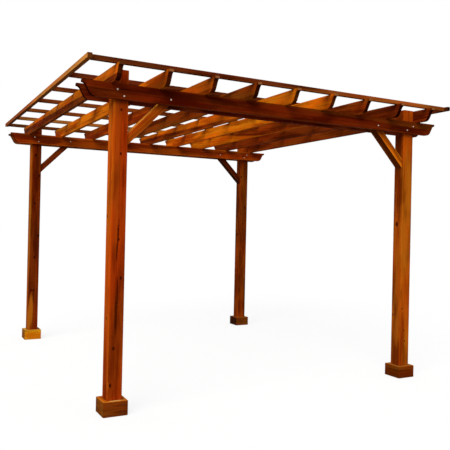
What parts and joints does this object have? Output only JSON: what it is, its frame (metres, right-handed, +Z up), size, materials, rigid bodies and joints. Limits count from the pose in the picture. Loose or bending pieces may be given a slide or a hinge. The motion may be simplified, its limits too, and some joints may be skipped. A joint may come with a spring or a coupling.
{
  "type": "wooden pergola",
  "caption": "Free-standing open wooden pergola: square posts with boxed bases, doubled beams, rafters with shaped ends, knee braces and an open roof of thin slats with side trims.",
  "frame": {"origin": "on the level ground at the centre between the four posts", "axes": "+Z up, +X along the two doubled beams from left to right, +Y along the rafters from the front to the back, millimetres in the source and metres in the row"},
  "size_m": [3.705, 3.9256, 2.7346],
  "materials": {
    "post_wood": "stained and oiled, satin",
    "base_wood": "stained and oiled, satin",
    "beam_wood": "dark stained, satin",
    "rafter_wood": "stained and oiled, satin",
    "slat_wood": "stained and oiled, satin",
    "bolt_steel": "galvanised, dull"
  },
  "bodies": {
    "root": {"post_front_left": "post_wood", "post_front_right": "post_wood", "post_back_left": "post_wood", "post_back_right": "post_wood", "base_trim_front_left": "base_wood", "base_trim_front_right": "base_wood", "base_trim_back_left": "base_wood", "base_trim_back_right": "base_wood", "front_beam_outer": "beam_wood", "front_beam_inner": "beam_wood", "back_beam_inner": "beam_wood", "back_beam_outer": "beam_wood", "brace_front_left": "post_wood", "brace_front_right": "post_wood", "brace_back_left": "post_wood", "brace_back_right": "post_wood", "rafter_1": "rafter_wood", "rafter_2": "rafter_wood", "rafter_3": "rafter_wood", "rafter_4": "rafter_wood", "rafter_5": "rafter_wood", "rafter_6": "rafter_wood", "rafter_7": "rafter_wood", "rafter_8": "rafter_wood", "rafter_9": "rafter_wood", "slat_1": "slat_wood", "slat_2": "slat_wood", "slat_3": "slat_wood", "slat_4": "slat_wood", "slat_5": "slat_wood", "slat_6": "slat_wood", "slat_7": "slat_wood", "side_trim_left": "slat_wood", "side_trim_right": "slat_wood"}
  },
  "joints": []
}
